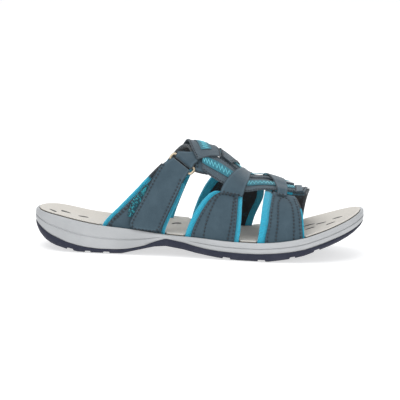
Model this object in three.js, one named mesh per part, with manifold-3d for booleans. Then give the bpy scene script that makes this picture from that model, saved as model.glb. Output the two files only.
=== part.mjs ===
// Strappy sport sandal for the right foot, a slip-on with a hook-and-loop instep closure.
//
// The sole is a stack: rubber outsole, foam midsole with a raised rim, insole board, footbed and its
// cover. Three cross straps rise from a slot between rim and footbed, each of a lining, a padded layer
// and an upper, and their padded layers turn under the insole board. Two taped ribbons run along the
// instep and are held down by keepers. The instep strap closes through a metal ring.
//
// Frame: millimetres, +X to the toe, +Y to the inner side of the foot, +Z up, origin at the ground
// under the middle of the footprint. Each strap lies on one foot form: a point of it is (x, girth),
// where girth runs in degrees from 0 at the outer base, over the ridge at 90, to 180 at the inner base.
import * as THREE from "three";
import { mergeVertices } from "three/addons/utils/BufferGeometryUtils.js";
import Module from "manifold-3d";

// ---------------------------------------------------------------- driving dimensions, millimetres
const HEEL_X = -131; // back of the heel
const TOE_X = 131; // tip of the toe
const HEEL_ROUND = 33; // length of the rounded heel
const TOE_ROUND_OUTER = 78; // length over which the outer edge runs into the toe
const TOE_ROUND_INNER = 48;
const TOE_TIP_Y = 12; // how far the toe's tip lies to the inner side
const ROUND_POWER = 2.2;

const CLEARANCE = 0.3; // between pieces that touch
const GROOVE_DEPTH = 1.6; // of the tread
const RIM_WALL = 3; // thickness of the midsole's rim
const STRAP_PLAY = 0.6; // between the rim and a strap
const BOARD_THICKNESS = 1.2;
const COVER_THICKNESS = 1;
const FOOTBED_LIP = 1.4; // how far the footbed's edge stands over the rim
const CUP_WIDTH = 17; // breadth of the footbed's raised border
const ARCH_RISE = 4.5; // extra height of the inner rim at the arch
const ARCH_X = -18;
const ARCH_REACH = 32;

const LINING = 0.6; // layer thicknesses of a strap, foot side first
const PADDING = 1.8;
const UPPER = 1;
const RIBBON = 1;
const TAPE = 0.35;
const TAPE_WIDTH = 7;
const TAB_THICKNESS = 1.2; // the lasting tab that turns under the board
const TAB_LENGTH = 12;

const STRAP_WIDTH = 18; // the closure strap where it passes the ring
const CLOSURE_THICKNESS = 1;
const HOOK_THICKNESS = 0.8;
const LOOP_THICKNESS = 0.8;
const RING_WIRE = 1.1; // radius of the ring's wire
const RING_WINDOW = 4; // clear height inside the ring
const RING_PLAY = 1.5; // the ring's window is this much wider than the strap
const RING_X = -15.6; // where the ring lies on the form
const RING_GIRTH = 53.2;
const CORNER_RELIEF = 0.45; // a rounded corner of the ring may lie this much nearer the form
const FOLD_STEPS = 6; // facets of a strap's fold round the ring's wire

// Each list is a curve along the foot: [x, value], values in millimetres.
const OUTER_EDGE = [[-98, -32.5], [-60, -34], [-30, -35.5], [0, -40], [25, -45], [53, -48.5]];
const INNER_EDGE = [[-98, 32.5], [-60, 32], [-30, 30.5], [-10, 31], [15, 35], [40, 42], [62, 47], [83, 48.5]];
const RIM_HEIGHT = [
  [-131, 30.5], [-111, 28.2], [-96, 25], [-80, 22.4], [-48, 19.6], [-28, 17.2], [0, 16], [25, 14.6],
  [45, 14.6], [63, 16], [79, 18.6], [95, 23.2], [111, 28.9], [131, 37],
];
const FLOOR_HEIGHT = [
  [-131, 22.5], [-111, 18.5], [-96, 15.6], [-80, 13.8], [-48, 12.9], [-28, 12.9], [-12, 12.1], [0, 11],
  [25, 8.8], [45, 8.6], [63, 9.8], [79, 12], [95, 16.4], [111, 22.2], [131, 30],
];
const FOOTBED_DROP = [[-131, 3.8], [-90, 3.8], [-60, 1.4], [-28, -1.2], [0, -0.6], [40, 0.4], [131, 1.4]];
const SOLE_THICKNESS = [[-131, 3], [-62, 3], [-28, 1.8], [0, 2.4], [40, 3], [131, 3]]; // inside its raised edge
const OUTSOLE_TOP = [
  [-131, 21.5], [-120, 14], [-111, 10.4], [-96, 5.8], [-80, 3.6], [-64, 3.6], [-50, 5.6], [-40, 8.8],
  [-34, 11.7], [-27, 14], [-18, 13], [0, 8.8], [15, 6.8], [39, 6], [63, 7.4], [79, 9.6], [95, 14.1],
  [111, 19.8], [125, 25.3], [131, 28.5],
];
const GROUND_LINE = [
  [-131, 16], [-126, 11.2], [-120, 6.9], [-112, 3.9], [-104, 1.9], [-92, 0], [-64, 0], [-48, 3.6],
  [-28, 7.6], [-16, 6.4], [0, 3.2], [18, 0.8], [30, 0], [52, 0], [67, 1.9], [79, 4.1], [93, 8.9],
  [111, 15.4], [125, 22], [131, 26.5],
];
const RIDGE_HEIGHT = [
  [-80, 108], [-50, 97], [-17, 82.5], [0, 79], [9, 76.5], [17, 71.5], [27, 63.5], [33, 58.3], [38, 56],
  [46, 55], [56, 52.5], [66, 49.6], [77, 47.8], [90, 48],
];
const RIDGE_Y = [[-80, 0], [-17, 3], [30, 6], [80, 8]];
const SECTION_POWER = [[-80, 2.2], [0, 2.2], [60, 2.6], [90, 2.6]]; // how square the foot's section is

const TREAD_GROOVES = [[-101.5, 5], [-87.6, 4.5], [-72.8, 5], [21.9, 6], [49.4, 6], [73.6, 4.5], [92.7, 4.5]];
const LONG_GROOVES = [-17, 17]; // across the foot from the middle, at the ball

// ---------------------------------------------------------------- curves and small vector helpers
const RADIANS = Math.PI / 180;
const vec = (x, y, z) => new THREE.Vector3(x, y, z);
const mix = (a, b, t) => a + (b - a) * t;
const clamp01 = (t) => Math.min(1, Math.max(0, t));
const ease = (t) => clamp01(t) ** 2 * (3 - 2 * clamp01(t));

// A smooth curve through [x, value] points that never overshoots them.
function through(points) {
  const slope = points.slice(1).map(([x, v], i) => (v - points[i][1]) / (x - points[i][0]));
  const tangent = points.map((_, i) => {
    if (i === 0) return slope[0];
    if (i === points.length - 1) return slope[i - 1];
    const product = slope[i - 1] * slope[i];
    return product <= 0 ? 0 : (2 * product) / (slope[i - 1] + slope[i]);
  });
  return (at) => {
    const x = Math.min(points.at(-1)[0], Math.max(points[0][0], at));
    const next = points.findIndex((p, i) => i > 0 && x <= p[0]);
    const [[x0, v0], [x1, v1]] = [points[next - 1], points[next]];
    const [h, t] = [x1 - x0, (x - x0) / (x1 - x0)];
    const bend = t * (1 - t) * h * (tangent[next - 1] * (1 - t) - tangent[next] * t);
    return mix(v0, v1, ease(t)) + bend;
  };
}

// A curve that runs from the heel to the toe, and so stretches with either half of the sole.
function overSole(points) {
  const curve = through(points);
  return (x) => curve(x < 0 ? (x * points[0][0]) / HEEL_X : (x * points.at(-1)[0]) / TOE_X);
}

const outerEdge = through(OUTER_EDGE);
const innerEdge = through(INNER_EDGE);
const rimHeight = overSole(RIM_HEIGHT);
const floorHeight = overSole(FLOOR_HEIGHT);
const footbedDrop = overSole(FOOTBED_DROP);
const soleThickness = overSole(SOLE_THICKNESS);
const outsoleTop = overSole(OUTSOLE_TOP);
const groundLine = overSole(GROUND_LINE);
const ridgeHeight = through(RIDGE_HEIGHT);
const ridgeY = through(RIDGE_Y);
const sectionPower = through(SECTION_POWER);

// ---------------------------------------------------------------- the footprint
// How much of its full breadth an edge keeps at x, given where its rounded heel or toe starts.
function roundOff(x, start, end) {
  const into = clamp01((x - start) / (end - start));
  return Math.max(0, 1 - into ** ROUND_POWER) ** (1 / ROUND_POWER);
}

// One edge's distance across the foot at x, or that of a line set in from it.
function edgeY(x, side, inset = 0) {
  if (inset) {
    const slope = edgeY(x + 0.5, side) - edgeY(x - 0.5, side);
    return edgeY(x, side) - side * inset * Math.hypot(1, slope);
  }
  const heel = roundOff(x, HEEL_X + HEEL_ROUND, HEEL_X);
  if (x < 0) return heel * (side < 0 ? outerEdge(x) : innerEdge(x));
  const toe = roundOff(x, TOE_X - (side < 0 ? TOE_ROUND_OUTER : TOE_ROUND_INNER), TOE_X);
  return mix(TOE_TIP_Y, side < 0 ? outerEdge(x) : innerEdge(x), toe);
}

// The footprint as a closed loop of points with their outward directions: heel tip, outer edge, toe tip, inner
// edge. Both edges have the same number of stations, so a loop can be closed across by its index.
function footprint(outerStations, innerStations) {
  const side = (x, sign) => {
    const step = Math.min(0.05, 0.4 * Math.min(x - HEEL_X, TOE_X - x));
    const run = edgeY(x + step, sign) - edgeY(x - step, sign);
    const normal = vec(-run, 2 * step, 0).multiplyScalar(sign).normalize();
    // Insets run straight across the foot where straps stand, and square to the edge round the ends.
    const straight = 1 - ease((Math.abs(normal.x) - 0.3) / 0.3);
    const shear = (straight * normal.x) / normal.y;
    const out = vec(normal.x - shear * normal.y, normal.y + shear * normal.x, 0);
    return { x, y: edgeY(x, sign), out, side: sign };
  };
  return [
    { x: HEEL_X, y: 0, out: vec(-1, 0, 0), side: 0 },
    ...outerStations.map((x) => side(x, -1)),
    { x: TOE_X, y: TOE_TIP_Y, out: vec(1, 0, 0), side: 0 },
    ...innerStations.map((x) => side(x, 1)).reverse(),
  ];
}

const archRise = (x, side) => (side > 0 ? ARCH_RISE * Math.exp(-(((x - ARCH_X) / ARCH_REACH) ** 2)) : 0);
const rimTop = (x, side) => rimHeight(x) + archRise(x, side);

// ---------------------------------------------------------------- solids from loops and from grids
function geometryOf(points, faces) {
  const geometry = new THREE.BufferGeometry().setFromPoints(points);
  geometry.setIndex(faces.flat());
  geometry.computeVertexNormals();
  return geometry;
}

// A sole layer: closed loops round the footprint, each [inset(station), height(x, station)], from the
// inner loop of the underside, out and over the side, to the inner loop of the top.
function soleLayer(stations, loops) {
  const count = stations.length;
  const points = loops.flatMap(([inset, height]) =>
    stations.map((s) => {
      const by = inset(s);
      const x = s.x - s.out.x * by;
      return vec(x, s.y - s.out.y * by, height(x, s));
    }),
  );
  const faces = [];
  for (let ring = 0; ring + 1 < loops.length; ring++) {
    // Facets are split along the same diagonal above and below, so that layers stay parallel.
    const inward = loops[ring + 1][0](stations[0]) > loops[ring][0](stations[0]);
    for (let i = 0; i < count; i++) {
      const [a, b] = [ring * count + i, ring * count + ((i + 1) % count)];
      const [c, d] = [b + count, a + count];
      faces.push(...(inward ? [[a, b, c], [a, c, d]] : [[a, b, d], [b, c, d]]));
    }
  }
  const cap = (start, flip) => {
    for (let i = 0; i < count / 2; i++) {
      const [a, b] = [start + i, start + i + 1];
      const [c, d] = [start + ((count - i - 1) % count), start + ((count - i) % count)];
      const quad = i === 0 ? [[a, b, c]] : i === count / 2 - 1 ? [[a, b, d]] : [[a, b, c], [a, c, d]];
      faces.push(...quad.map((f) => (flip ? [f[0], f[2], f[1]] : f)));
    }
  };
  cap(0, true);
  cap((loops.length - 1) * count, false);
  return geometryOf(points, faces);
}

// A strap: a solid between two grids of points, rows along it and columns across it.
function strapSolid(inner, outer) {
  const [rows, columns] = [inner.length, inner[0].length];
  const points = [...inner.flat(), ...outer.flat()];
  const at = (layer, row, column) => (layer * rows + row) * columns + column;
  const faces = [];
  const quad = (a, b, c, d) => faces.push([a, b, c], [a, c, d]);
  for (let r = 0; r + 1 < rows; r++)
    for (let c = 0; c + 1 < columns; c++) {
      quad(at(1, r, c), at(1, r, c + 1), at(1, r + 1, c + 1), at(1, r + 1, c));
      quad(at(0, r, c), at(0, r + 1, c), at(0, r + 1, c + 1), at(0, r, c + 1));
    }
  for (let r = 0; r + 1 < rows; r++) {
    quad(at(0, r, 0), at(1, r, 0), at(1, r + 1, 0), at(0, r + 1, 0));
    quad(at(0, r, columns - 1), at(0, r + 1, columns - 1), at(1, r + 1, columns - 1), at(1, r, columns - 1));
  }
  for (let c = 0; c + 1 < columns; c++) {
    quad(at(0, 0, c), at(0, 0, c + 1), at(1, 0, c + 1), at(1, 0, c));
    quad(at(0, rows - 1, c), at(1, rows - 1, c), at(1, rows - 1, c + 1), at(0, rows - 1, c + 1));
  }
  return geometryOf(points, faces);
}

// ---------------------------------------------------------------- the foot form
const STRAP_STACK = LINING + PADDING + UPPER + 2 * CLEARANCE;
const STRAP_INSET = RIM_WALL + STRAP_PLAY + STRAP_STACK; // from the footprint to a strap's foot side

function onForm(x, girth) {
  const power = 2 / sectionPower(x);
  const [c, s] = [Math.cos(girth * RADIANS), Math.sin(girth * RADIANS)];
  const middle = ridgeY(x);
  const side = c > 0 ? -1 : 1;
  const reach = Math.abs(edgeY(x, side, STRAP_INSET) - middle);
  const rise = ridgeHeight(x) - floorHeight(x);
  return vec(x, middle + side * reach * Math.abs(c) ** power, floorHeight(x) + rise * Math.abs(s) ** power);
}

function formNormal(x, girth) {
  const along = onForm(x + 0.5, girth).sub(onForm(x - 0.5, girth));
  const round = onForm(x, Math.min(180, girth + 1)).sub(onForm(x, Math.max(0, girth - 1)));
  return along.cross(round).normalize();
}

const offForm = (x, girth, offset) => onForm(x, girth).addScaledVector(formNormal(x, girth), offset);

// A smooth route through [x, girth] points, as a function of the share of its length.
function route(points) {
  const curve = new THREE.CatmullRomCurve3(points.map(([x, girth]) => vec(x, girth, 0)), false, "centripetal");
  return (share) => curve.getPoint(share);
}

// The layer of a strap between two heights over the form. rear and front are its two edges, trimRear
// and trimFront set the layer back from them, and lift raises it along its length.
function layer({ rear, front, rows = 8, columns = 4, trimRear = 0, trimFront = 0, lift = () => 0 }, from, to) {
  const [rearEdge, frontEdge] = [route(rear), route(front)];
  const inner = [];
  const outer = [];
  for (let r = 0; r <= rows; r++) {
    const share = r / rows;
    const [a, b] = [rearEdge(share), frontEdge(share)];
    const breadth = onForm(a.x, a.y).distanceTo(onForm(b.x, b.y));
    const cells = Array.from({ length: columns + 1 }, (_, c) =>
      mix(trimRear / breadth, 1 - trimFront / breadth, c / columns),
    ).map((w) => [mix(a.x, b.x, w), mix(a.y, b.y, w)]);
    const up = lift(share, r);
    inner.push(cells.map(([x, girth]) => offForm(x, girth, from + up)));
    outer.push(cells.map(([x, girth]) => offForm(x, girth, to + up)));
  }
  return { inner, outer };
}

// Strap solids face outwards when their rows climb from the outer side; the others are turned round.
function strap(shape, from, to) {
  const { inner, outer } = layer(shape, from, to);
  return shape.fromInner ? strapSolid(inner.reverse(), outer.reverse()) : strapSolid(inner, outer);
}

// ---------------------------------------------------------------- heights over the form
const PADDING_FROM = LINING + CLEARANCE;
const PADDING_TO = PADDING_FROM + PADDING;
const UPPER_FROM = PADDING_TO + CLEARANCE;
const UPPER_TO = UPPER_FROM + UPPER;
const FIRST_LEVEL = UPPER_TO + CLEARANCE; // what is sewn onto the uppers starts here
const RIBBON_STACK = RIBBON + TAPE + 2 * CLEARANCE; // and rises by this much over each taped ribbon
const TAPE_FROM = FIRST_LEVEL + RIBBON + CLEARANCE;
const HOOK_FROM = FIRST_LEVEL + LOOP_THICKNESS + CLEARANCE;
const HOOK_TO = HOOK_FROM + HOOK_THICKNESS;
const TAB_FROM = HOOK_TO + CLEARANCE;

// ---------------------------------------------------------------- strap shapes on the form
// Legs stand at the base of their strap; base is the stretch of the slot that they fill.
const LEGS = {
  instep_outer: {
    base: [-77, -27.5],
    side: -1,
    rear: [[-77, 0], [-77, 4], [-64, 13], [-48.5, 26.5], [-37.5, 39.5], [-31.8, 47.6]],
    front: [[-27.5, 0], [-27.5, 4], [-22.3, 14], [-16.4, 26], [-13.8, 33], [-13, 36.6]],
    trimRear: 3,
    trimFront: 2.2,
  },
  instep_inner: {
    base: [-64, -22],
    side: 1,
    fromInner: true,
    rows: 16,
    rear: [
      [-64, 180], [-64, 176], [-51, 163], [-38, 150], [-27, 133], [-19.5, 113], [-13.5, 94], [-9, 77], [-7.6, 64],
      [-7.2, 50],
    ],
    front: [
      [-22, 180], [-22, 176], [-17, 163], [-12, 150], [-6, 133], [1, 112], [4.5, 93], [6, 77], [6.5, 63],
      [5, 50],
    ],
    trimRear: 2,
    trimFront: 2,
  },
  mid_outer: {
    base: [-10.5, 31],
    side: -1,
    rear: [[-10.5, 0], [-10.5, 3], [-7.7, 10.5], [-1.1, 22.5], [5.8, 32], [13, 38]],
    front: [[31, 0], [31, 4], [32, 13], [32.3, 24], [32, 38], [32, 47]],
    trimRear: 4.4,
    trimFront: 3.2,
  },
  mid_inner: {
    base: [-7, 42],
    side: 1,
    fromInner: true,
    rear: [[-7, 180], [-7, 177], [-3, 164], [4, 148], [12, 134], [20, 122]],
    front: [[42, 180], [42, 176], [45, 164], [49, 152], [51, 140], [50, 126]],
    trimRear: 5,
    trimFront: 5,
  },
  toe_outer: {
    base: [46.2, 82],
    side: -1,
    rear: [[46.2, 0], [46.2, 4], [48, 18], [48.8, 36], [50.8, 63.5]],
    front: [[82, 0], [82, 4], [81.2, 20], [80, 40], [75.5, 65]],
    trimRear: 5.6,
    trimFront: 1.4,
  },
  toe_inner: {
    base: [56, 83],
    side: 1,
    fromInner: true,
    rows: 12,
    rear: [[56, 180], [56, 175], [55.5, 158], [53.5, 138], [51, 116], [52, 96], [59, 74]],
    front: [[83, 180], [83, 175], [84, 158], [85.5, 138], [86.8, 116], [86.8, 97], [83.5, 77]],
    trimRear: 4,
    trimFront: 1.4,
  },
};

// Taped ribbons along the instep. levels gives, by share of a piece's length, how many taped ribbons
// it passes over.
const RIBBONS = {
  ribbon_outer: {
    rear: [
      [-1, 73], [6, 73], [14, 72.6], [23, 72.4], [33, 76.4], [43, 81.8], [52, 88], [60, 93], [67, 95], [73.8, 95],
    ],
    front: [
      [0, 52], [8, 47], [16, 45.5], [25, 46.5], [34, 51.5], [44, 57.5], [53, 62.8], [60, 66.3], [67, 70], [74.4, 75],
    ],
    rows: 16,
    levels: [[0, 0], [1, 0]],
  },
  ribbon_ridge: {
    rear: [[2, 97], [10, 98], [18, 100], [27, 103], [35, 108], [43, 111], [52, 112], [62, 112], [69, 110], [74, 108]],
    front: [
      [2, 78], [10, 76], [18, 74.8], [27, 75.8], [35, 79.6], [43, 83.4], [47.6, 86.6], [51.5, 86.6], [56, 86.4],
      [62, 87.5], [68, 89], [73.5, 90],
    ],
    rows: 18,
    levels: [[0, 0], [0.544, 0], [0.632, 0.7], [1, 0.7]],
  },
};

// Bands that cross over the ribbons, from the outer side to the inner side.
const BANDS = {
  instep_crossover: {
    rear: [[-4.2, 59.5], [-7.9, 68], [-10.8, 78], [-13, 90], [-15, 102], [-18.5, 117], [-24, 129]],
    front: [[12, 72], [11.2, 80], [9.4, 90], [6.4, 100], [2, 111], [-3, 122], [-9, 132]],
    rows: 12,
    levels: [[0, 1], [0.62, 1], [0.8, 0], [1, 0]],
  },
  rear_band: {
    rear: [[13, 74], [11.6, 86], [10.5, 98], [12, 112], [16, 128]],
    front: [[19.5, 72.5], [22, 82], [25, 93], [27.5, 108], [29, 129]],
    rows: 10,
    levels: [[0, 1], [0.69, 1], [0.86, 0], [1, 0]],
  },
  mid_keeper: {
    rear: [[14.8, 36.2], [15.8, 41], [18, 49], [21.5, 61], [26.5, 80], [31, 100], [37, 118], [39.5, 131]],
    front: [[31.7, 43.5], [32.2, 47], [33, 55], [34.8, 66], [36.6, 84], [39.5, 101], [45, 119], [48.5, 132]],
    rows: 16,
    levels: [[0, 0], [0.02, 0], [0.11, 1], [0.83, 1], [0.93, 0], [1, 0]],
  },
  toe_keeper: {
    rear: [[59, 57.2], [58.6, 63.4], [57.8, 70], [55.6, 80], [52, 91], [49, 104], [48.5, 116], [50, 130]],
    front: [[67, 59.6], [67.2, 66], [67.2, 73], [66.4, 81], [65, 92], [60, 106], [58.5, 118], [59, 131]],
    rows: 16,
    levels: [[0, 0], [0.06, 0], [0.2, 1], [0.36, 1], [0.48, 1.68], [0.84, 1.68], [0.97, 0], [1, 0]],
  },
  toe_band: {
    rear: [[75.2, 73], [75.2, 80], [75, 89], [75, 99], [75, 110], [74.6, 122]],
    front: [[81, 75], [81.2, 82], [80.6, 90], [80.8, 99], [81, 110], [81, 122]],
    rows: 10,
    levels: [[0, 0], [1, 0]],
  },
};

// ---------------------------------------------------------------- sole stations
const STATION_STEP = 9;
const END_STATIONS = [0.6, 2.4, 6, 11, 18, 27]; // from the heel's back and from the toe's tip

// Stations along one edge: close at both ends, on both sides of each mark, and never far apart.
function stationsFor(marks, breadth) {
  const ends = END_STATIONS.flatMap((d) => [HEEL_X + d, TOE_X - d]);
  const pairs = marks.flatMap((m) => [m - breadth, m + breadth]);
  const taken = [...ends.filter((x) => pairs.every((p) => Math.abs(p - x) > 2.5)), ...pairs];
  const sorted = taken.sort((a, b) => a - b);
  return sorted.flatMap((x, i) => {
    const gap = (sorted[i + 1] ?? x) - x;
    const parts = Math.max(1, Math.round(gap / STATION_STEP));
    return Array.from({ length: parts }, (_, k) => x + (gap * k) / parts);
  });
}

// Splits the widest gaps of the shorter list until both edges have as many stations.
function pairUp(first, second) {
  const [long, short] = first.length > second.length ? [first, [...second]] : [second, [...first]];
  while (short.length < long.length) {
    const gaps = short.slice(1).map((x, i) => x - short[i]);
    const widest = gaps.indexOf(Math.max(...gaps));
    short.splice(widest + 1, 0, short[widest] + gaps[widest] / 2);
  }
  return first.length > second.length ? [long, short] : [short, long];
}

const NOTCH_WALL = 0.7; // half the run of a notch's side wall
const NOTCH_PLAY = 1.3; // between a strap's edge and its notch
const legsOn = (side) => Object.values(LEGS).filter((leg) => leg.side === side);
const notchMarks = (side) =>
  legsOn(side).flatMap(({ base: [x0, x1] }) => [x0 - NOTCH_PLAY, x1 + NOTCH_PLAY]);

// 1 where a strap passes the edge at this station, 0 elsewhere.
const inSlot = (s) =>
  legsOn(s.side).some(({ base: [x0, x1] }) => s.x > x0 - NOTCH_PLAY && s.x < x1 + NOTCH_PLAY) ? 1 : 0;

const slotted = footprint(
  ...pairUp(stationsFor(notchMarks(-1), NOTCH_WALL), stationsFor(notchMarks(1), NOTCH_WALL)),
);

// ---------------------------------------------------------------- the sole's layers
const solid = await Module();
solid.setup();

function toManifold(geometry) {
  const vertProperties = new Float32Array(geometry.getAttribute("position").array);
  return new solid.Manifold(
    new solid.Mesh({ numProp: 3, vertProperties, triVerts: new Uint32Array(geometry.index.array) }),
  );
}

function fromManifold(body) {
  const { vertProperties, triVerts } = body.getMesh();
  const geometry = new THREE.BufferGeometry();
  geometry.setAttribute("position", new THREE.BufferAttribute(vertProperties, 3));
  geometry.setIndex(new THREE.BufferAttribute(triVerts, 1));
  geometry.computeVertexNormals();
  return geometry;
}

// A groove across the tread, open below, its floor GROOVE_DEPTH over the ground line.
function treadGroove([x, width]) {
  const half = width / 2;
  const floor = (at) => groundLine(at) + GROOVE_DEPTH;
  const [a, b] = [x - half + 0.4, x + half - 0.4];
  const shape = new THREE.Shape();
  shape.moveTo(x - half - 1.5, -5).lineTo(a - 0.8, groundLine(a) - 0.3).lineTo(a, floor(a));
  shape.lineTo(b, floor(b)).lineTo(b + 0.8, groundLine(b) - 0.3).lineTo(x + half + 1.5, -5);
  const cutter = new THREE.ExtrudeGeometry(shape, { depth: 120, bevelEnabled: false });
  return mergeVertices(cutter.rotateX(Math.PI / 2).translate(0, 60, 0).deleteAttribute("normal").deleteAttribute("uv"));
}

// A groove along the tread under the ball of the foot, between the two cross grooves there.
function longGroove(y) {
  const [a, b] = [TREAD_GROOVES[3][0], TREAD_GROOVES[4][0]];
  const cutter = new THREE.BoxGeometry(b - a, 3.2, 2 * GROOVE_DEPTH).translate((a + b) / 2, y, 0);
  return mergeVertices(cutter.deleteAttribute("normal").deleteAttribute("uv"));
}

const soleCore = (x) => groundLine(x) + soleThickness(x);

function outsole() {
  const wall = (share) => (x) => mix(groundLine(x), outsoleTop(x), share);
  const body = toManifold(
    soleLayer(slotted, [
      [() => 17, groundLine],
      [() => 4.2, groundLine],
      [() => 2.8, (x) => groundLine(x) + 0.5],
      [() => 1.2, wall(0.42)],
      [() => 0.6, wall(0.72)],
      [() => 0.9, wall(1)],
      [() => 2.4, (x) => mix(soleCore(x), outsoleTop(x), 0.6)],
      [() => 4, soleCore],
      [() => 14, soleCore],
    ]),
  );
  const cutters = [...TREAD_GROOVES.map(treadGroove), ...LONG_GROOVES.map(longGroove)];
  return fromManifold(cutters.reduce((left, cutter) => left.subtract(toManifold(cutter)), body));
}

const SIDE_GROOVE = 0.9;
const POCKET = TAB_THICKNESS + 2 * CLEARANCE + 0.15;

function midsole() {
  const under = (x) => soleCore(x) + CLEARANCE;
  const foot = (x) => outsoleTop(x) + CLEARANCE;
  const height = (share) => (x, s) => mix(foot(x), rimTop(x, s.side), share);
  const grooveDepth = (s) => SIDE_GROOVE * clamp01((rimTop(s.x, s.side) - foot(s.x) - 4) / 3);
  const pocket = (x, s) => floorHeight(x) - inSlot(s) * POCKET;
  const pocketEnd = STRAP_INSET + TAB_LENGTH + 0.5;
  return soleLayer(slotted, [
    [() => 14, under],
    [() => 4, under],
    [() => 2.4, (x) => mix(under(x), foot(x), 0.6)],
    [() => 0.9, foot],
    [() => 0, height(0.16)],
    [() => 0, height(0.4)],
    [grooveDepth, height(0.46)],
    [() => 0.1, height(0.52)],
    [() => 0.3, height(0.86)],
    [() => 1.3, (x, s) => rimTop(x, s.side)],
    [() => RIM_WALL, (x, s) => rimTop(x, s.side)],
    [() => RIM_WALL, pocket],
    [() => pocketEnd, pocket],
    [() => pocketEnd + 0.8, floorHeight],
  ]);
}

const boardTop = (x) => floorHeight(x) + CLEARANCE + BOARD_THICKNESS;
const boardInset = (s) => mix(RIM_WALL + 1.5, STRAP_INSET + 0.6, inSlot(s));
const footbedInset = (s) => mix(RIM_WALL + CLEARANCE, STRAP_INSET + 0.4, inSlot(s));

function insoleBoard() {
  const underside = (x) => floorHeight(x) + CLEARANCE;
  return soleLayer(slotted, [
    [(s) => boardInset(s) + 6, underside],
    [boardInset, underside],
    [boardInset, boardTop],
    [(s) => boardInset(s) + 6, boardTop],
  ]);
}

// The footbed's finished surface: level in the middle, cupped towards its edge.
function footbedTop(x, s, inset) {
  const level = rimHeight(x) - footbedDrop(x);
  const lip = rimTop(x, s.side) + FOOTBED_LIP;
  return mix(lip, level, ease((inset - RIM_WALL) / CUP_WIDTH));
}

// Loops of a layer of the footbed, depth below its finished surface.
const bedLoops = (depth, insets) =>
  insets.map((by) => [
    (s) => footbedInset(s) + by,
    (x, s) => footbedTop(x, s, footbedInset(s) + by) - depth,
  ]);

const BED_SPREAD = [0.2, 4, 9, 14];

function footbed() {
  const underside = (x) => boardTop(x) + CLEARANCE;
  return soleLayer(slotted, [
    [(s) => footbedInset(s) + 8, underside],
    [(s) => footbedInset(s) + 0.4, underside],
    [footbedInset, (x) => underside(x) + 0.6],
    ...bedLoops(COVER_THICKNESS + 2 * CLEARANCE, BED_SPREAD),
  ]);
}

function footbedCover() {
  return soleLayer(slotted, [
    ...bedLoops(COVER_THICKNESS, BED_SPREAD).reverse(),
    ...bedLoops(COVER_THICKNESS * 0.4, [0]),
    ...bedLoops(0, [0.8, 4, 9, 14]),
  ]);
}

// ---------------------------------------------------------------- cross straps
// The padded layer goes on round the corner of its slot and in under the insole board.
function paddingWithTab(leg) {
  const { inner, outer } = layer(leg, PADDING_FROM, PADDING_TO);
  const tabRow = (points, inward, drop) =>
    points.map((p) => vec(p.x, p.y - leg.side * inward, floorHeight(p.x) - CLEARANCE - drop));
  inner.unshift(tabRow(inner[0], TAB_LENGTH, 0), tabRow(inner[0], 0.4, 0));
  outer.unshift(tabRow(outer[0], TAB_LENGTH + PADDING, TAB_THICKNESS), tabRow(outer[0], 0, TAB_THICKNESS));
  return leg.fromInner ? strapSolid(inner.reverse(), outer.reverse()) : strapSolid(inner, outer);
}

function crossStrap(name) {
  const leg = LEGS[name];
  const untrimmed = { ...leg, trimRear: 0, trimFront: 0 };
  const set = { ...leg, trimRear: leg.trimRear + 1, trimFront: leg.trimFront + 1 };
  return [
    [name + "_lining", strap(set, 0, LINING), MATERIALS.lining],
    [name + "_padding", paddingWithTab(untrimmed), MATERIALS.padding],
    [name + "_upper", strap(leg, UPPER_FROM, UPPER_TO), MATERIALS.upper],
  ];
}

// ---------------------------------------------------------------- ribbons and bands
// Height gained by a piece, at a share of its length, over the ribbons beneath it.
function liftOf({ levels }) {
  return (share) => {
    const next = Math.max(1, levels.findIndex(([at]) => share <= at + 1e-9));
    const [[from, low], [to, high]] = [levels[next - 1], levels[next]];
    return RIBBON_STACK * mix(low, high, ease((share - from) / (to - from)));
  };
}

// The tape runs down the middle third of its ribbon.
function middleOf({ rear, front, ...shape }) {
  const between = (w) => rear.map(([x, girth], i) => [mix(x, front[i][0], w), mix(girth, front[i][1], w)]);
  return { ...shape, rear: between(0.3), front: between(0.7), columns: 2 };
}

function ribbon(name) {
  const shape = { ...RIBBONS[name], lift: liftOf(RIBBONS[name]) };
  return [
    [name, strap(shape, FIRST_LEVEL, FIRST_LEVEL + RIBBON), MATERIALS.upper],
    [name + "_tape", strap(middleOf(shape), TAPE_FROM, TAPE_FROM + TAPE), MATERIALS.tape],
  ];
}

function band(name) {
  const shape = { ...BANDS[name], lift: liftOf(BANDS[name]) };
  return [name, strap(shape, FIRST_LEVEL, FIRST_LEVEL + UPPER), MATERIALS.upper];
}

function crossoverTape() {
  const shape = middleOf({ ...BANDS.instep_crossover, lift: liftOf(BANDS.instep_crossover) });
  const part = { ...shape, rear: shape.rear.slice(1), front: shape.front.slice(1), rows: 10 };
  const lift = (share) => shape.lift(mix(1 / 6, 1, share));
  return strap({ ...part, lift }, TAPE_FROM, TAPE_FROM + TAPE);
}

// ---------------------------------------------------------------- the ring closure
// The ring's own axes: along its bars, down the closure strap, and out from the foot.
const ringOut = formNormal(RING_X, RING_GIRTH);
const ringAlong = onForm(-7.5, 46.8).sub(onForm(-25, 58.7));
ringAlong.addScaledVector(ringOut, -ringAlong.dot(ringOut)).normalize();
const ringDown = vec(0, 0, 0).crossVectors(ringAlong, ringOut).normalize();
const BAR_REACH = RING_WINDOW / 2 + RING_WIRE;
const RING_HALF = (STRAP_WIDTH + RING_PLAY) / 2 + RING_WIRE; // from its middle to the wire's middle at its end

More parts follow.
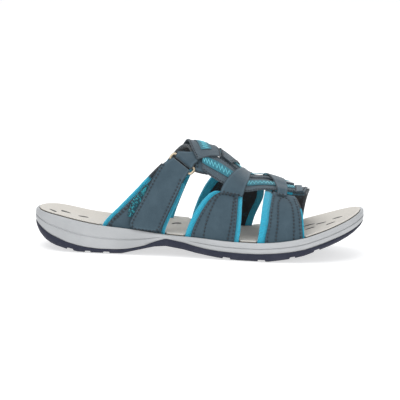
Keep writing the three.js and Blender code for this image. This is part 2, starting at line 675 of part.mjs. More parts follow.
// How far the form rises, under a place on the ring, over a flat plane laid on it under the ring's middle.
function riseUnder(along, down) {
  const place = onForm(RING_X, RING_GIRTH).addScaledVector(ringAlong, along).addScaledVector(ringDown, down);
  let best = { x: RING_X, girth: RING_GIRTH, aside: Infinity, rise: 0 };
  for (const step of [3, 0.6, 0.12]) {
    const { x, girth } = best;
    for (let i = -6; i <= 6; i += 1) {
      for (let j = -6; j <= 6; j += 1) {
        const [atX, atGirth] = [x + i * step, girth + j * step];
        const off = onForm(atX, atGirth).sub(place);
        const rise = off.dot(ringOut);
        const aside = off.addScaledVector(ringOut, -rise).length();
        if (aside < best.aside) best = { x: atX, girth: atGirth, aside, rise };
      }
    }
  }
  return best.rise;
}

// The ring lies on the uppers' level, or higher where one of its corners would meet them.
const cornerRise = Math.max(...[-1, 1].flatMap((a) => [-1, 0, 1].map((d) => riseUnder(a * RING_HALF, d * BAR_REACH))));
const RING_LEVEL = RING_WIRE + Math.max(FIRST_LEVEL - 0.1, UPPER_TO + cornerRise - CORNER_RELIEF);
const ringCentre = offForm(RING_X, RING_GIRTH, RING_LEVEL);
const atRing = (along, down, out) =>
  ringCentre.clone().addScaledVector(ringAlong, along).addScaledVector(ringDown, down).addScaledVector(ringOut, out);

// A rounded rectangle of round wire, swept as a closed loop.
function ring() {
  const corner = 2.2;
  const [halfLong, halfHigh] = [RING_HALF, BAR_REACH];
  const arcSteps = 4;
  const path = [[1, 1], [-1, 1], [-1, -1], [1, -1]].flatMap(([sx, sy], k) =>
    Array.from({ length: arcSteps + 1 }, (_, i) => {
      const angle = (k + i / arcSteps) * 90 * RADIANS;
      return [sx * (halfLong - corner), sy * (halfHigh - corner), angle];
    }).map(([x, y, angle]) => ({ x: x + corner * Math.cos(angle), y: y + corner * Math.sin(angle), angle })),
  );
  const sides = 8;
  const points = path.flatMap(({ x, y, angle }) =>
    Array.from({ length: sides }, (_, i) => {
      const turn = (i / sides) * 2 * Math.PI;
      const out = RING_WIRE * Math.cos(turn);
      return atRing(x + out * Math.cos(angle), y + out * Math.sin(angle), RING_WIRE * Math.sin(turn));
    }),
  );
  const faces = path.flatMap((_, p) =>
    Array.from({ length: sides }, (_, i) => {
      const next = (p + 1) % path.length;
      const [a, b] = [p * sides + i, next * sides + i];
      const [c, d] = [next * sides + ((i + 1) % sides), p * sides + ((i + 1) % sides)];
      return [[a, c, b], [a, d, c]];
    }).flat(),
  );
  return geometryOf(points, faces);
}

const TAB_FOLD_START = 10; // degrees; the peeling tab clears the root's end behind the bar
const FOLD_INNER = RING_WIRE + CLEARANCE;
const FOLD_OUTER = FOLD_INNER + CLOSURE_THICKNESS;

// Rows of a fold round a bar, from an angle (-90 on the foot side) round to the outside. towards is -1
// for a fold that goes over the top of its bar and 1 for one that goes under it.
function foldRows(bar, towards, halfWidth, radius, start = -90, columns = 4) {
  const steps = Math.ceil((FOLD_STEPS * (90 - start)) / 180);
  return Array.from({ length: steps + 1 }, (_, i) => {
    const angle = mix(start, 90, i / steps) * RADIANS;
    return Array.from({ length: columns + 1 }, (_, c) =>
      atRing(
        mix(-halfWidth, halfWidth, c / columns),
        bar + towards * radius * Math.cos(angle),
        radius * Math.sin(angle),
      ),
    );
  });
}

// The free half of the closure strap: it folds over the ring's lower bar and runs down the outside.
const TAB = {
  rear: [[-32.6, 46.2], [-37.2, 36], [-42.5, 25.5], [-48, 16.5], [-53, 9.5], [-55, 6.6], [-54.2, 4.8], [-51, 4]],
  front: [[-14.4, 37.5], [-16.5, 31.5], [-20, 24], [-24.4, 14.8], [-28.6, 7.6], [-29.8, 5.4], [-32, 4.1], [-36, 3.6]],
};

function closureTab() {
  const [inner, outer] = [FOLD_INNER, FOLD_OUTER].map((r) =>
    foldRows(BAR_REACH, -1, STRAP_WIDTH / 2, r, TAB_FOLD_START),
  );
  const body = layer({ ...TAB, rows: 12 }, TAB_FROM, TAB_FROM + CLOSURE_THICKNESS);
  return strapSolid([...body.inner.reverse(), ...inner.reverse()], [...body.outer.reverse(), ...outer.reverse()]);
}

const HOOK = {
  rear: [[-49.8, 12.8], [-45, 20], [-41, 26.5]],
  front: [[-27, 10.5], [-23.4, 17], [-20.5, 23]],
  rows: 5,
  trimRear: 1.6,
  trimFront: 1.6,
};
const LOOP = {
  rear: [[-57, 9.6], [-54.4, 17], [-43.4, 29]],
  front: [[-30.5, 9], [-26, 17], [-22, 26]],
  rows: 5,
};

// The half that is sewn to the outer leg and goes up behind the ring's lower bar.
function closureRoot() {
  const root = {
    rear: [[-39.6, 33], [-35.8, 39.6], [-31.6, 46]],
    front: [[-20.5, 29], [-17.5, 34], [-15.2, 38.5]],
    rows: 4,
  };
  const { inner, outer } = layer(root, FIRST_LEVEL, FIRST_LEVEL + CLOSURE_THICKNESS);
  const reach = BAR_REACH + 0.6;
  const across = (out) =>
    Array.from({ length: 5 }, (_, c) => atRing(mix(-0.5, 0.5, c / 4) * STRAP_WIDTH, reach, out));
  return strapSolid([...inner, across(-FOLD_OUTER)], [...outer, across(-FOLD_INNER)]);
}

// The band that ties the ring's upper bar to the instep strap, under the crossover.
const HOLDER = {
  rear: [[-20.8, 63.5], [-14.5, 67], [-9, 69.5], [-5.5, 73]],
  front: [[-6.4, 54], [-3.6, 58.5], [-2.4, 64], [-1.8, 69]],
  rows: 5,
  lift: (share) => (RING_LEVEL - FIRST_LEVEL + RING_WIRE - CLEARANCE) * (1 - ease(share / 0.5)), // over the ring
};

function ringHolder() {
  const top = layer(HOLDER, FIRST_LEVEL, FIRST_LEVEL + CLOSURE_THICKNESS);
  const [inner, outer] = [FOLD_INNER, FOLD_OUTER].map((r) => foldRows(-BAR_REACH, 1, STRAP_WIDTH / 2 - 0.6, r));
  return strapSolid([...inner, ...top.inner], [...outer, ...top.outer]);
}

// ---------------------------------------------------------------- materials and assembly
const finish = (color, roughness, metalness = 0) => new THREE.MeshStandardMaterial({ color, roughness, metalness });
const MATERIALS = {
  outsole: finish(0x2b2e3d, 0.8),
  midsole: finish(0xb4b7ba, 0.7),
  board: finish(0xc9b48c, 0.9),
  footbed: finish(0xcfc6b6, 0.9),
  cover: finish(0xd6cdbf, 0.95),
  upper: finish(0x47555f, 0.85),
  padding: finish(0x21a3c4, 0.8),
  lining: finish(0x15161c, 0.9),
  tape: finish(0x2aa4bd, 0.8),
  loop: finish(0x1c5364, 1),
  hook: finish(0x14171c, 0.9),
  ring: finish(0xc9b48a, 0.3, 1),
};

const sandal = new THREE.Group();
const pieces = [
  ["outsole", outsole(), MATERIALS.outsole],
  ["midsole", midsole(), MATERIALS.midsole],
  ["insole_board", insoleBoard(), MATERIALS.board],
  ["footbed", footbed(), MATERIALS.footbed],
  ["footbed_cover", footbedCover(), MATERIALS.cover],
  ...Object.keys(LEGS).flatMap(crossStrap),
  ...Object.keys(RIBBONS).flatMap(ribbon),
  ...Object.keys(BANDS).map((name) => [...band(name)]),
  ["instep_crossover_tape", crossoverTape(), MATERIALS.tape],
  ["closure_root", closureRoot(), MATERIALS.upper],
  ["closure_tab", closureTab(), MATERIALS.upper],
  ["hook_patch", strap(HOOK, HOOK_FROM, HOOK_TO), MATERIALS.hook],
  ["loop_patch", strap(LOOP, FIRST_LEVEL, FIRST_LEVEL + LOOP_THICKNESS), MATERIALS.loop],
  ["ring", ring(), MATERIALS.ring],
  ["ring_holder", ringHolder(), MATERIALS.upper],
];
for (const [name, geometry, material] of pieces) {
  const mesh = new THREE.Mesh(geometry, material);
  mesh.name = name;
  sandal.add(mesh);
}

export default sandal;
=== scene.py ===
# A strappy sport sandal for the right foot, put together as its maker does: outsole, midsole, board
# and footbed, then the cross straps layer by layer, the taped ribbons and the keepers that hold them,
# and last the hook-and-loop closure through its ring. Metres, toe to +X, inner side to +Y, up +Z.
import math
import random

import bmesh
import bpy
from mathutils import Matrix, Vector, noise
from mathutils.bvhtree import BVHTree
from mathutils.kdtree import KDTree


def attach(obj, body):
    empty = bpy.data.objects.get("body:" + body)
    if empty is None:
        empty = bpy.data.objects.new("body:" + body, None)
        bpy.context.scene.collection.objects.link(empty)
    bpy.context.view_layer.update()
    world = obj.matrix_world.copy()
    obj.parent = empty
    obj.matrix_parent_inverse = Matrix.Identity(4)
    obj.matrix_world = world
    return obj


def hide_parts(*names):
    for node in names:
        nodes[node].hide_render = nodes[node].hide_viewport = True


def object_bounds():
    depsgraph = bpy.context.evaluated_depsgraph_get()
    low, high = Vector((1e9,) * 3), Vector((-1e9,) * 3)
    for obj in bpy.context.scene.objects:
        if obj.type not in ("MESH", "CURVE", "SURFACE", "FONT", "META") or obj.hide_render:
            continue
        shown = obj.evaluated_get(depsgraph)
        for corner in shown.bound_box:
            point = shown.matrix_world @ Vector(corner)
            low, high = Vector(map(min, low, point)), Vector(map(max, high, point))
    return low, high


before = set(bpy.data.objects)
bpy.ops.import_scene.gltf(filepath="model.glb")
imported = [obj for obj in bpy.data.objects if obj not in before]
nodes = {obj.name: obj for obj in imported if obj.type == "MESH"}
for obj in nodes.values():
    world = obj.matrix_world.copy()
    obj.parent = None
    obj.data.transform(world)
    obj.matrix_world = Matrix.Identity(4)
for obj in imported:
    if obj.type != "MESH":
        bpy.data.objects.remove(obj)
cad_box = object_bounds()
MM = 0.001
bpy.ops.object.select_all(action="DESELECT")


# ------------------------------------------------------------------------------ camera and studio
# A long lens looks at the outer side from a little above. The sandal stands on a pale sweep under
# one big overhead softbox, with a weaker one in front, so its shadows are soft and short.
LENS, SENSOR, VIEW_WIDTH = 300, 36, 318.5 * MM
ELEVATION, ROLL = math.radians(9), math.radians(2)
AIM = Vector((-0.4, 0, 40.3)) * MM

level = Vector((0, math.sin(ELEVATION), math.cos(ELEVATION)))
across = Vector((math.cos(ROLL), 0, 0)) + level * math.sin(ROLL)
upward = Vector((-math.sin(ROLL), 0, 0)) + level * math.cos(ROLL)
towards = across.cross(upward)
bpy.ops.object.camera_add(location=AIM + towards * VIEW_WIDTH * LENS / SENSOR)
camera = bpy.context.object
camera.rotation_euler = Matrix((across, upward, towards)).transposed().to_euler()
camera.data.lens = LENS
camera.data.sensor_width = SENSOR
camera.data.clip_end = 20
bpy.context.scene.camera = camera
bpy.context.scene.view_settings.view_transform = "Standard"


def softbox(name, place, size, watts):
    """A square area light that points at the sandal."""
    bpy.ops.object.light_add(type="AREA", location=place)
    lamp = bpy.context.object
    lamp.name = name
    lamp.rotation_euler = (Vector(place) - AIM).to_track_quat("Z", "Y").to_euler()
    lamp.data.size = size
    lamp.data.energy = watts


softbox("overhead_softbox", (-0.25, -0.25, 1.3), 1.2, 9)
softbox("front_softbox", (0.35, -1.5, 0.4), 1.0, 6)
softbox("rear_softbox", (-0.2, 1.4, 0.8), 1.0, 5)
studio = bpy.data.worlds.new("studio")
studio.use_nodes = True
studio.node_tree.nodes["Background"].inputs["Color"].default_value = (0.96, 0.98, 1, 1)
studio.node_tree.nodes["Background"].inputs["Strength"].default_value = 0.62
bpy.context.scene.world = studio


class Value:
    """One socket of a finish. Sums on it become Math nodes."""

    def __init__(self, finish, socket):
        self.finish = finish
        self.socket = socket

    def math(self, operation, *others, flip=False):
        terms = [self, *others]
        if flip:
            terms.reverse()
        return self.finish.add("ShaderNodeMath", {"operation": operation}, dict(enumerate(terms)))[0]

    def __add__(self, other):
        return self.math("ADD", other)

    def __sub__(self, other):
        return self.math("SUBTRACT", other)

    def __rsub__(self, other):
        return self.math("SUBTRACT", other, flip=True)

    def __mul__(self, other):
        return self.math("MULTIPLY", other)

    __radd__ = __add__
    __rmul__ = __mul__


class Finish:
    """A material under construction, on the one shader that every piece of the sandal uses."""

    def __init__(self, name, **constants):
        self.material = bpy.data.materials.new(name)
        self.material.use_nodes = True
        self.tree = self.material.node_tree
        self.shader = self.tree.nodes["Principled BSDF"]
        for socket, value in constants.items():
            self.shader.inputs[socket.replace("_", " ")].default_value = value

    def add(self, kind, settings=None, inputs=None):
        """Any node: its settings first, then the values or links of its sockets."""
        node = self.tree.nodes.new(kind)
        for setting, value in (settings or {}).items():
            setattr(node, setting, value)
        for key, value in (inputs or {}).items():
            if isinstance(value, Value):
                self.tree.links.new(value.socket, node.inputs[key])
            else:
                node.inputs[key].default_value = value
        return [Value(self, socket) for socket in node.outputs]

    def place(self):
        return self.add("ShaderNodeTexCoord")[3]

    def weave(self):
        """How far along and across its strap a point lies, and how far from its edge, in millimetres."""
        spot = self.add("ShaderNodeAttribute", {"attribute_name": "weave"})[1]
        return self.add("ShaderNodeSeparateXYZ", None, {0: spot})

    def grain(self, per_metre, detail=2, roughness=0.5, stretch=(1, 1, 1)):
        spot = self.add("ShaderNodeMapping", None, {0: self.place(), 3: stretch})[0]
        settings = {"Vector": spot, "Scale": per_metre, "Detail": detail, "Roughness": roughness}
        return self.add("ShaderNodeTexNoise", None, settings)[0]

    def between(self, share, low, high):
        """The share of the way from low to high, held to 0 and 1 at the ends."""
        return self.add("ShaderNodeMapRange", {"clamp": True}, {0: share, 1: low, 2: high, 3: 0.0, 4: 1.0})[0]

    def tint(self, share, first, second):
        first, second = ((*c, 1) if isinstance(c, tuple) and len(c) == 3 else c for c in (first, second))
        return self.add("ShaderNodeMix", {"data_type": "RGBA"}, {0: share, 6: first, 7: second})[2]

    def coat(self, colour, roughness, height=None, depth=0.0):
        """Feeds the shader: what changes over the surface, and a relief of that depth in millimetres."""
        self.tree.links.new(colour.socket, self.shader.inputs["Base Color"])
        self.tree.links.new(roughness.socket, self.shader.inputs["Roughness"])
        if height:
            relief = {"Height": height, "Distance": depth * MM, "Strength": 1.0}
            bump = self.add("ShaderNodeBump", None, relief)[0]
            self.tree.links.new(bump.socket, self.shader.inputs["Normal"])
        return self.material


sweep = Finish("pale_sweep", Specular_IOR_Level=0.1, Emission_Color=(1, 1, 1, 1), Emission_Strength=0.62)
sweep.coat(
    sweep.tint(sweep.grain(3), (0.58, 0.58, 0.58), (0.6, 0.6, 0.6)),
    sweep.grain(20) * 0.1 + 0.8,
)
bpy.ops.mesh.primitive_plane_add(size=8, location=(0, 0, -0.0002))
floor = bpy.context.object
floor.name = "floor"
floor.data.materials.append(sweep.material)


# ------------------------------------------------------------------------------ outsole
# The treaded rubber sole, moulded in one piece with grooves across it and two along the ball, and
# cemented under the midsole. Its cut edges are slightly rounded by the mould.
def recut(name, node, body="sandal"):
    """A piece made from a CAD node: corners merged, triangles paired, selected and active."""
    bpy.ops.object.select_all(action="DESELECT")
    piece = bpy.data.objects.new(name, nodes[node].data.copy())
    bpy.context.collection.objects.link(piece)
    piece.select_set(True)
    bpy.context.view_layer.objects.active = piece
    bpy.ops.object.mode_set(mode="EDIT")
    bpy.ops.mesh.select_all(action="SELECT")
    bpy.ops.mesh.remove_doubles(threshold=0.01 * MM)
    bpy.ops.mesh.customdata_custom_splitnormals_clear()
    bpy.ops.mesh.tris_convert_to_quads(face_threshold=math.radians(50), shape_threshold=math.radians(120))
    bpy.ops.object.mode_set(mode="OBJECT")
    piece.data.materials.clear()
    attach(piece, body)
    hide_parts(node)
    return piece


def rounded(piece, edge, levels, angle=40, segments=2):
    """Rounds the piece's edges by that much, in millimetres, then subdivides it smooth."""
    bevel = piece.modifiers.new("edges", "BEVEL")
    bevel.width = edge * MM
    bevel.segments = segments
    bevel.limit_method = "ANGLE"
    bevel.angle_limit = math.radians(angle)
    bpy.ops.object.modifier_apply(modifier="edges")
    if levels:
        smooth = piece.modifiers.new("smooth", "SUBSURF")
        smooth.levels = smooth.render_levels = levels
        bpy.ops.object.modifier_apply(modifier="smooth")
    bpy.ops.object.shade_smooth()


def dressed(piece, material):
    piece.data.materials.append(material)
    return piece


rubber = Finish("navy_rubber", Specular_IOR_Level=0.35)
dust = rubber.between(rubber.grain(90, 4, 0.65), 0.5, 0.75)
rubber.coat(
    rubber.tint(dust * 0.5, (0.019, 0.022, 0.042), (0.045, 0.049, 0.072)),
    0.5 + rubber.grain(400, 3) * 0.35,
    rubber.grain(2200, 2) + rubber.grain(260, 2) * 0.8,
    0.08,
)
outsole = recut("outsole_rubber", "outsole")
rounded(outsole, 0.45, 0, angle=35)
bpy.ops.object.shade_smooth_by_angle(angle=math.radians(38))
dressed(outsole, rubber.material)


# ------------------------------------------------------------------------------ midsole
# The light grey foam midsole, moulded with a raised rim and a shallow groove down its side. Its skin
# is smooth with the fine pores of moulded foam, and it is cemented to the outsole and the board.
foam = Finish("grey_foam", Specular_IOR_Level=0.4)
pores = foam.add("ShaderNodeTexVoronoi", None, {"Vector": foam.place(), "Scale": 1500})[0]
clouds = foam.grain(26, 3, 0.55)
foam.coat(
    foam.tint(foam.between(clouds, 0.35, 0.65), (0.40, 0.41, 0.42), (0.47, 0.48, 0.49)),
    0.42 + foam.grain(180, 3) * 0.25,
    foam.between(pores, 0.0, 0.35) + foam.grain(600, 3),
    0.05,
)
midsole = recut("midsole_foam", "midsole")
rounded(midsole, 0.5, 2, angle=32)
dressed(midsole, foam.material)


# ------------------------------------------------------------------------------ board and footbed
# A fibre board closes the midsole. On it lies a soft foam footbed under a brushed cream textile, with
# small moulded vent slots in its heel and under the toes.
fibre = Finish("fibre_board")
strands = fibre.grain(500, 4, 0.7, (1, 6, 1))
fibre.coat(fibre.tint(strands, (0.42, 0.33, 0.21), (0.62, 0.52, 0.37)), strands * 0.2 + 0.75, strands, 0.1)
board = recut("fibre_board", "insole_board")
rounded(board, 0.2, 0, angle=50)
bpy.ops.object.shade_smooth_by_angle(angle=math.radians(40))
dressed(board, fibre.material)

sponge = Finish("cream_foam", Subsurface_Weight=0.05)
cells = sponge.add("ShaderNodeTexVoronoi", None, {"Vector": sponge.place(), "Scale": 1100})[0]
sponge.coat(
    sponge.tint(cells, (0.50, 0.45, 0.37), (0.66, 0.60, 0.51)), sponge.grain(300) * 0.2 + 0.75, cells, 0.2
)
footbed = recut("footbed_foam", "footbed")
rounded(footbed, 0.35, 1, angle=40)
dressed(footbed, sponge.material)

textile = Finish("cream_textile", Sheen_Weight=0.25, Sheen_Roughness=0.6)
nap = textile.grain(900, 4, 0.7, (1, 2.2, 1))
blotches = textile.between(textile.grain(55, 4, 0.6), 0.35, 0.7)
textile.coat(
    textile.tint(blotches, textile.tint(nap, (0.56, 0.525, 0.47), (0.72, 0.68, 0.62)), (0.66, 0.62, 0.56)),
    0.85 + nap * 0.12,
    nap + textile.grain(330, 3) * 1.5,
    0.22,
)


def shift(piece, moves):
    """Moves each vertex by its own vector, all of them worked out beforehand."""
    for v, move in zip(piece.data.vertices, moves):
        v.co += move


def spots_tree(spots):
    """A search tree over these points, in their own order."""
    tree = KDTree(len(spots))
    for i, spot in enumerate(spots):
        tree.insert(spot, i)
    tree.balance()
    return tree


# The cover is drawn out a little at its edge, to close the gap to the midsole. The recut mesh is creased
# across from each strap's notch, so all but a border strip is smoothed. The creases have steep faces, as
# the rim has, so the rim is looked for only beyond INNER_HALF.
BORDER_OVERHANG, BORDER_STRIP = 0.3, 2.5
INNER_HALF = Vector((112, 22)) * MM
cover = recut("footbed_cover_textile", "footbed_cover")
rounded(cover, 0.3, 2, angle=40)
cover_points = cover.data.vertices
outward = [Vector((v.normal.x, v.normal.y, 0)) * max(0, v.normal.z + 0.6) for v in cover_points]
shift(cover, [way * BORDER_OVERHANG * MM for way in outward])
rim_zone = [v for v in cover_points if abs(v.co.y) > INNER_HALF.y or abs(v.co.x) > INNER_HALF.x]
rim_tree = spots_tree([v.co.copy() for v in rim_zone if abs(v.normal.z) < 0.6])
bpy.ops.object.mode_set(mode="EDIT")
bpy.ops.mesh.select_all(action="DESELECT")
bpy.ops.object.mode_set(mode="OBJECT")
for v in cover.data.vertices:
    v.select = rim_tree.find(v.co)[2] > BORDER_STRIP * MM
bpy.ops.object.mode_set(mode="EDIT")
bpy.ops.mesh.vertices_smooth(factor=0.5, repeat=40)
bpy.ops.object.mode_set(mode="OBJECT")
dressed(cover, textile.material)


def tree_of(*pieces):
    """A search tree over the faces of these pieces, for places on them and rays against them."""
    corners, faces = [], []
    for piece in pieces:
        start = len(corners)
        corners += [v.co.copy() for v in piece.data.vertices]
        faces += [[start + i for i in face.vertices] for face in piece.data.polygons]
    return BVHTree.FromPolygons(corners, faces)


def gathered(name, corners, faces, body="sandal"):
    """One smooth piece from all its corners and faces."""
    mesh = bpy.data.meshes.new(name)
    mesh.from_pydata(corners, [], faces)
    mesh.shade_smooth()
    piece = bpy.data.objects.new(name, mesh)
    bpy.context.collection.objects.link(piece)
    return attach(piece, body)


def repeated(name, shape, places, body="sandal"):
    """One piece that holds a copy of a small shape at each (spot, along, out)."""
    corners, faces = [], []
    for spot, along, out in places:
        side = out.cross(along).normalized()
        along = side.cross(out).normalized()
        start = len(corners)
        corners += [
            spot + along * v.co.x + side * v.co.y + out.normalized() * v.co.z for v in shape.data.vertices
        ]
        faces += [[start + i for i in face.vertices] for face in shape.data.polygons]
    return gathered(name, corners, faces, body)


def bead(name, length, width, height, dip):
    """A small rounded bar whose ends dip, modelled once for each kind of stitch, pile and vent."""
    bpy.ops.object.select_all(action="DESELECT")
    bpy.ops.mesh.primitive_uv_sphere_add(segments=6, ring_count=6, radius=0.5 * MM)
    shape = bpy.context.object
    shape.name = name
    bpy.ops.object.mode_set(mode="EDIT")
    bpy.ops.mesh.select_all(action="SELECT")
    bpy.ops.transform.rotate(value=math.pi / 2, orient_axis="Y", center_override=(0, 0, 0))
    bpy.ops.transform.resize(value=(length, width, height))
    bpy.ops.mesh.select_all(action="DESELECT")
    bpy.ops.object.mode_set(mode="OBJECT")
    for v in shape.data.vertices:
        v.select = abs(v.co.x) > 0.36 * length * MM
    bpy.ops.object.mode_set(mode="EDIT")
    bpy.ops.transform.translate(value=(0, 0, -dip * MM))
    bpy.ops.object.mode_set(mode="OBJECT")
    shape.hide_render = True
    shape.hide_viewport = True
    return shape


# The vents are shallow slots, splayed like a fan at the heel and under the toes. Each is a low bead on the
# cover whose near-black colour is painted shade, standing in for the slot's hollow.
vent_shade = Finish("vent_slots", Roughness=0.8)
vent_shade.coat(
    vent_shade.tint(vent_shade.grain(700, 2), (0.03, 0.032, 0.038), (0.09, 0.088, 0.085)),
    vent_shade.grain(500) * 0.2 + 0.7,
)
vent = bead("vent", 11.5, 3.4, 0.9, 0.15)
cover_tree = tree_of(cover)
VENT_SINK = 0.1  # how far a vent's middle lies under the cover's face
VENT_PLACES = [  # along, across, and how much the slot slants
    (-117, 3, 0.5), (-108, 12, -0.3), (-93, 9, 0.15), (-93, -9, -0.15), (-112, -9, -0.5), (-20, 12, 0),
    (88, 0, 0.2), (97, 10, -0.2), (104, -4, 0.3), (110, 12, -0.3), (88, 16, -0.1),
]
vents = []
for x, y, slant in VENT_PLACES:
    above = Vector((x * MM, y * MM, cad_box[1][2]))
    hit, normal, _, _ = cover_tree.ray_cast(above, Vector((0, 0, -1)))
    vents.append((hit - normal * VENT_SINK * MM, Vector((1, slant, 0)), normal))
dressed(repeated("vent_slots", vent, vents), vent_shade.material)


# ------------------------------------------------------------------------------ cross straps: lining
# Three straps cross the foot, in an outer and an inner half each. Against the foot lies a thin black
# spacer mesh, glued to the padding.
STRAPS = [f"{strap}_{half}" for strap in ("instep", "mid", "toe") for half in ("outer", "inner")]


FOOT_MIDDLE = Vector((0, 3, 22)) * MM


def out_from_foot(spot):
    """The way out from the foot's middle line at a point."""
    return Vector((0, spot.y - FOOT_MIDDLE.y, spot.z - FOOT_MIDDLE.z)).normalized()


class Lay:
    """How a strap lies: the two long edges of its outer face, as matched rows of points."""

    def __init__(self, node, runs=(0, 0, -1), columns=4):
        shell = bmesh.new()
        shell.from_mesh(nodes[node].data)
        bmesh.ops.remove_doubles(shell, verts=shell.verts, dist=0.01 * MM)
        shell.normal_update()
        middle = sum((v.co for v in shell.verts), Vector()) / len(shell.verts)

        def faces_out(face):
            centre = face.calc_center_median()
            return face.normal.dot(out_from_foot(centre)) * 2 - (centre - middle).length * 20

        first = max(shell.faces, key=faces_out)
        outer, waiting = {first}, [first]
        while waiting:
            face = waiting.pop()
            for edge in face.edges:
                for other in edge.link_faces:
                    if other not in outer and face.normal.dot(other.normal) > math.cos(math.radians(50)):
                        outer.add(other)
                        waiting.append(other)
        after = {
            corner.vert: corner.link_loop_next.vert
            for face in outer
            for corner in face.loops
            if sum(other in outer for other in corner.edge.link_faces) == 1
        }
        rim = [next(iter(after))]
        while after[rim[-1]] is not rim[0]:
            rim.append(after[rim[-1]])
        rim = [v.co.copy() for v in rim]
        count = len(rim)
        half = count // 2

        def turn(i):
            before, onward = rim[i % count] - rim[i % count - 1], rim[(i + 1) % count] - rim[i % count]
            return before.angle(onward)

        start = max(range(count), key=lambda i: sum(turn(i + k) for k in (0, columns, half, half + columns)))
        ring = [rim[(start + columns + k) % count] for k in range(count)]
        self.left = ring[: half - columns + 1]
        self.right = [ring[(count - columns - k) % count] for k in range(half - columns + 1)]
        if (self.middle(1) - self.middle(0)).dot(Vector(runs)) < 0:
            self.left.reverse()
            self.right.reverse()
        if sum(v.x for v in self.left) > sum(v.x for v in self.right):
            self.left, self.right = self.right, self.left
        self.rim = rim
        shell.free()

    def at(self, along, across):
        row = min(max(along, 0), 1) * (len(self.left) - 1)
        i = min(int(row), len(self.left) - 2)
        left = self.left[i].lerp(self.left[i + 1], row - i)
        right = self.right[i].lerp(self.right[i + 1], row - i)
        return left.lerp(right, across)

    def middle(self, along):
        return self.at(along, 0.5)

    def width(self, along):
        return (self.at(along, 1) - self.at(along, 0)).length

    def length(self):
        return sum((self.middle((i + 1) / 20) - self.middle(i / 20)).length for i in range(20))


def weave_over(piece, lay):
    """Stores the cloth's own directions on the piece: along, across and from the edge, in millimetres."""
    rows, columns = 60, 12
    spots = []
    length = 0.0
    for i in range(rows + 1):
        if i:
            length += (lay.middle(i / rows) - lay.middle((i - 1) / rows)).length
        for j in range(columns + 1):
            spot = lay.at(i / rows, j / columns)
            along = (lay.at((i + 1) / rows, j / columns) - lay.at((i - 1) / rows, j / columns)).normalized()
            side = (lay.at(i / rows, 1) - lay.at(i / rows, 0)).normalized()
            spots.append((spot, along, side, length, (j / columns - 0.5) * lay.width(i / rows)))
    tree = spots_tree([spot for spot, *_ in spots])
    rim_steps = zip(lay.rim, lay.rim[1:] + lay.rim[:1])
    rim = spots_tree([a.lerp(b, k / 6) for a, b in rim_steps for k in range(6)])
    field = piece.data.attributes.new("weave", "FLOAT_VECTOR", "POINT")
    for v, value in zip(piece.data.vertices, field.data):
        spot, along, side, far, aside = spots[tree.find(v.co)[1]]
        off = v.co - spot
        value.vector = Vector((far + off.dot(along), aside + off.dot(side), rim.find(v.co)[2])) / MM


def sine_wave(value, pitch):
    return (value * (2 * math.pi / pitch)).math("SINE")


spacer = Finish("black_spacer_mesh", Sheen_Weight=0.15)
far, aside, edge = spacer.weave()
holes = sine_wave(far, 1.6) * sine_wave(aside, 1.2)
flecks = spacer.between(spacer.grain(700, 2), 0.62, 0.7)
net = spacer.tint(spacer.between(holes, 0.1, 0.6), (0.012, 0.013, 0.019), (0.004, 0.004, 0.006))
spacer.coat(
    spacer.tint(flecks, net, (0.01, 0.09, 0.13)),
    0.75 + flecks * 0.1,
    holes,
    0.2,
)
LAYS = {}
for strap in STRAPS:
    LAYS[strap] = Lay(f"{strap}_upper")
    lining = recut(f"{strap}_lining_mesh", f"{strap}_lining")
    rounded(lining, 0.15, 2)
    weave_over(lining, LAYS[strap])
    dressed(lining, spacer.material)


# ------------------------------------------------------------------------------ cross straps: padding
# A turquoise knit, wrapped round thin foam, stands out past the upper's edges as a soft roll. Its
# lower end turns under the board, where it is lasted and glued.
knit = Finish("turquoise_knit", Sheen_Weight=0.35, Sheen_Roughness=0.5)
far, aside, edge = knit.weave()
slant = (aside * (1 / 1.1)).math("PINGPONG", 0.5)
loops = sine_wave(far + slant * 0.9, 1.05)
heather = knit.between(knit.grain(800, 3, 0.6), 0.3, 0.75)
# Painted shade: where this attribute is set, the knit turns near-black, for the shade on parts of the roll
# that lie in shadow.
roll_shade = knit.add("ShaderNodeAttribute", {"attribute_name": "roll_shade"})[2]
knit.coat(
    knit.tint(
        roll_shade,
        knit.tint(knit.between(loops, -1, 1) * 0.7 + heather * 0.3, (0.008, 0.30, 0.46), (0.022, 0.56, 0.80)),
        knit.tint(heather, (0.012, 0.017, 0.024), (0.045, 0.066, 0.084)),
    ),
    0.7 + heather * 0.2,
    loops + heather,
    0.18,
)
STANDS_OUT = 1.15  # how far the roll stands out past the CAD's flat layer
UNDER_UPPER, ROLL_SLOPE = 0.5, 1.6  # the roll starts this clear of the upper and is full so much further on
NEIGHBOUR_PLAY = 0.25
LASTED_BELOW = 17 * MM  # below this height the padding lies flat under the board
